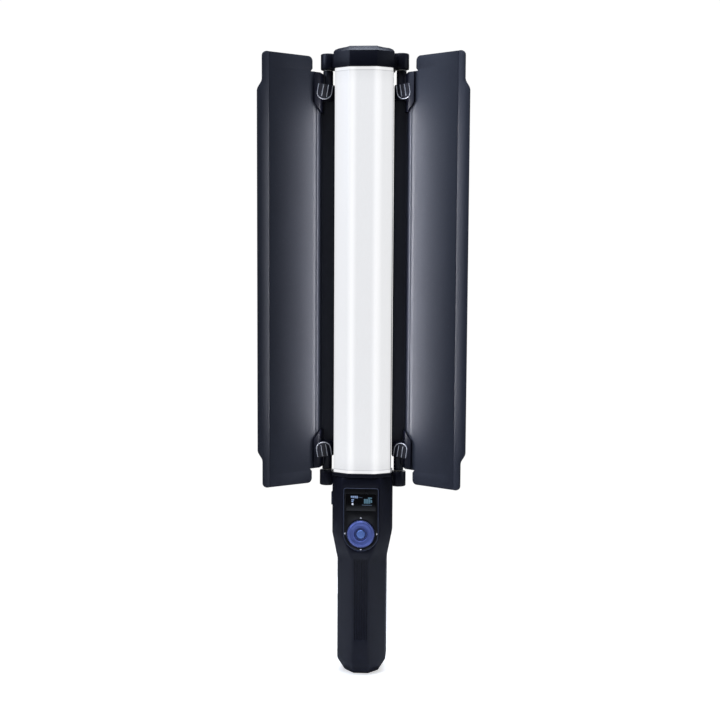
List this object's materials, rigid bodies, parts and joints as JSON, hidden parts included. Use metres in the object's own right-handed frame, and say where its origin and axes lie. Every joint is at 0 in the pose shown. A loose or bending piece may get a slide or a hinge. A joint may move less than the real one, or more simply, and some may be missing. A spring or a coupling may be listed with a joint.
{
  "type": "hand-held LED light wand with barn doors",
  "caption": "Hand-held LED light tube on a moulded grip, with a folding sheet barn door on each side, a display, a tilting control dial and a tripod socket in the foot.",
  "frame": {"origin": "middle of the tripod socket, on the flat of the handle's foot", "axes": "+Z along the tube to its cap, -Y the way the lit face looks, +X to the right of someone who looks at the lit face"},
  "size_m": [0.163, 0.0667, 0.5058],
  "materials": {
    "shell": "fine-grained black with a navy cast",
    "panel": "satin black",
    "door_sheet": "black powder coat with a blue cast",
    "diffuser": "milky, lit",
    "reflector": "white",
    "anodised": "black anodised",
    "lamp_board": "white solder mask",
    "circuit_board": "green solder mask",
    "display": "dark, lit",
    "window": "smoked clear",
    "steel": "plated",
    "nylon": "natural nylon",
    "dial_metal": "anodised violet blue",
    "button_metal": "anodised light blue",
    "key": "satin violet blue",
    "rubber": "matt",
    "brass": "turned",
    "cell_wrap": "shrink wrap"
  },
  "bodies": {
    "wand": {"handle_front_shell": "shell", "handle_rear_shell": "shell", "lower_collar": "shell", "top_cap": "shell", "control_panel": "panel", "diffuser": "diffuser", "reflector_tray": "reflector", "rear_housing": "anodised", "led_board": "lamp_board", "control_board": "circuit_board", "charge_board": "circuit_board", "display_module": "display", "display_window": "window", "top_cap_screw_left": "steel", "top_cap_screw_right": "steel", "handle_screw_left_upper": "steel", "handle_screw_left_lower": "steel", "handle_screw_right_upper": "steel", "handle_screw_right_lower": "steel", "left_upper_hinge_pin": "steel", "left_lower_hinge_pin": "steel", "right_upper_hinge_pin": "steel", "right_lower_hinge_pin": "steel", "usb_socket": "steel", "left_upper_hinge_washer": "nylon", "left_lower_hinge_washer": "nylon", "right_upper_hinge_washer": "nylon", "right_lower_hinge_washer": "nylon", "nav_switch_base": "nylon", "power_switch": "nylon", "battery_cradle": "nylon", "led_lead": "rubber", "tripod_insert": "brass", "battery_cell_lower": "cell_wrap", "battery_cell_upper": "cell_wrap"},
    "left_door": {"left_door_panel": "door_sheet", "left_upper_hinge_arm": "shell", "left_lower_hinge_arm": "shell", "left_upper_rivet": "steel", "left_lower_rivet": "steel"},
    "right_door": {"right_door_panel": "door_sheet", "right_upper_hinge_arm": "shell", "right_lower_hinge_arm": "shell", "right_upper_rivet": "steel", "right_lower_rivet": "steel"},
    "nav_gimbal_body": {"nav_gimbal": "nylon"},
    "nav_carrier_body": {"nav_carrier": "nylon"},
    "dial": {"dial_wheel": "dial_metal"},
    "confirm_key": {"confirm_button": "button_metal"},
    "power_key": {"power_button": "key"},
    "port_flap": {"port_cover": "rubber"}
  },
  "joints": [
    {"name": "left_door_hinge", "type": "hinge", "parent": "wand", "child": "left_door", "pos_m": [-0.0293, -0.002, 0.32845], "axis": [0, 0, 1], "range_deg": [-51.6, 38.4]},
    {"name": "right_door_hinge", "type": "hinge", "parent": "wand", "child": "right_door", "pos_m": [0.0293, -0.002, 0.32845], "axis": [0, 0, -1], "range_deg": [-47.7, 42.3]},
    {"name": "dial_press_up_down", "type": "hinge", "parent": "wand", "child": "nav_gimbal_body", "pos_m": [0, -0.0158, 0.1183], "axis": [1, 0, 0], "range_deg": [-2.5, 2.5], "stiffness_Nm_per_rad": 0.4},
    {"name": "dial_press_left_right", "type": "hinge", "parent": "nav_gimbal_body", "child": "nav_carrier_body", "pos_m": [0, -0.0158, 0.1183], "axis": [0, 0, 1], "range_deg": [-2.5, 2.5], "stiffness_Nm_per_rad": 0.4},
    {"name": "dial_spin", "type": "hinge", "parent": "nav_carrier_body", "child": "dial", "pos_m": [0, -0.0158, 0.1183], "axis": [0, 1, 0], "continuous": true},
    {"name": "confirm_press", "type": "slide", "parent": "nav_carrier_body", "child": "confirm_key", "axis": [0, 1, 0], "range_m": [0, 0.0008], "stiffness_N_per_m": 800},
    {"name": "power_press", "type": "slide", "parent": "wand", "child": "power_key", "axis": [1, 0, 0], "range_m": [0, 0.0008], "stiffness_N_per_m": 1200},
    {"name": "port_cover_flap", "type": "hinge", "parent": "wand", "child": "port_flap", "pos_m": [-0.0193, -0.0023, 0.0712], "axis": [0, 0, -1], "range_deg": [0, 110]}
  ]
}
